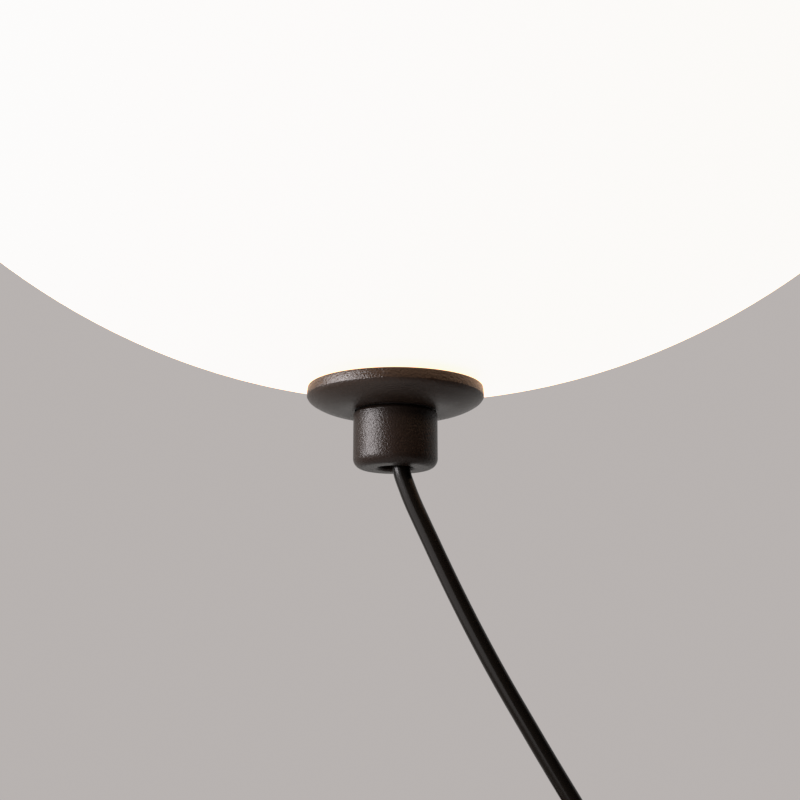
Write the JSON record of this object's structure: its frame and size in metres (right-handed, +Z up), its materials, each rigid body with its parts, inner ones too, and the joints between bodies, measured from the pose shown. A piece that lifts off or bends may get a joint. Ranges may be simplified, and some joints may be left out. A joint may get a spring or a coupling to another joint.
{
  "type": "globe pendant light",
  "caption": "Globe pendant light: glowing opal glass globe under a ceiling rose and short rod, with a dark brown flange and boss at its foot and a black supply cord to a plug.",
  "frame": {"origin": "on the ceiling, at the middle of the bracket's top face", "axes": "+Z up towards the ceiling, -Y towards the picture's camera, +X to its right"},
  "size_m": [0.4499, 0.4498, 0.946],
  "materials": {
    "brown_powder_coat": "fine-texture powder coat, dark brown, satin",
    "opal_glass": "blown opal glass, glossy outside, lit from within",
    "black_cord": "extruded PVC sheath, satin black",
    "black_plastic": "moulded, lightly textured",
    "zinc_steel": "zinc plated",
    "nickel_plate": "nickel-plated brass",
    "column_aluminium": "extruded, clear anodised",
    "white_plastic": "moulded, satin",
    "led_phosphor": "phosphor-filled resin",
    "seal_rubber": "moulded EPDM",
    "black_fibre": "vulcanised fibre",
    "brown_wire": "PVC wire insulation"
  },
  "bodies": {
    "ceiling": {"ceiling_bracket": "zinc_steel", "swivel_yoke": "zinc_steel", "yoke_rivets": "zinc_steel", "rose_cover": "brown_powder_coat", "rose_screws": "zinc_steel"},
    "swivel": {"swivel_block": "zinc_steel", "yoke_pin": "zinc_steel", "fork_pin": "zinc_steel"},
    "globe": {"rod_fork": "zinc_steel", "drop_rod": "brown_powder_coat", "top_boss": "brown_powder_coat", "grub_screw": "zinc_steel", "top_cap": "brown_powder_coat", "upper_gasket": "seal_rubber", "globe_glass": "opal_glass", "tie_tube": "zinc_steel", "light_column": "column_aluminium", "led_strips": "white_plastic", "led_chips": "led_phosphor", "driver_box": "white_plastic", "driver_clips": "zinc_steel", "terminal_block": "white_plastic", "lead_wires": "brown_wire", "cord_riser": "black_cord", "lower_gasket": "seal_rubber", "bottom_flange": "brown_powder_coat", "fibre_washer": "black_fibre", "cord_grip": "seal_rubber", "cord_drop": "black_cord", "cord_coil": "black_cord", "cord_tie": "black_plastic", "cord_tail": "black_cord", "switch_front": "black_plastic", "switch_back": "black_plastic", "switch_screws": "zinc_steel", "cord_end": "black_cord", "plug_sleeve": "black_cord", "plug_body": "black_plastic", "plug_pins": "nickel_plate"},
    "nut": {"clamp_nut": "brown_powder_coat"},
    "rocker": {"switch_rocker": "black_plastic"}
  },
  "joints": [
    {"name": "swing_x", "type": "hinge", "parent": "ceiling", "child": "swivel", "pos_m": [0, 0, -0.01461], "axis": [1, 0, 0], "range_deg": [-8, 8]},
    {"name": "swing_y", "type": "hinge", "parent": "swivel", "child": "globe", "pos_m": [0, 0, -0.02461], "axis": [0, 1, 0], "range_deg": [-8, 8]},
    {"name": "nut_turn", "type": "hinge", "parent": "globe", "child": "nut", "pos_m": [0, 0, -0.62867], "axis": [0, 0, 1], "continuous": true},
    {"name": "rocker_tilt", "type": "hinge", "parent": "globe", "child": "rocker", "pos_m": [0.07515, 0.01205, -0.83197], "axis": [1, 0, 0], "range_deg": [-12, 0]}
  ]
}
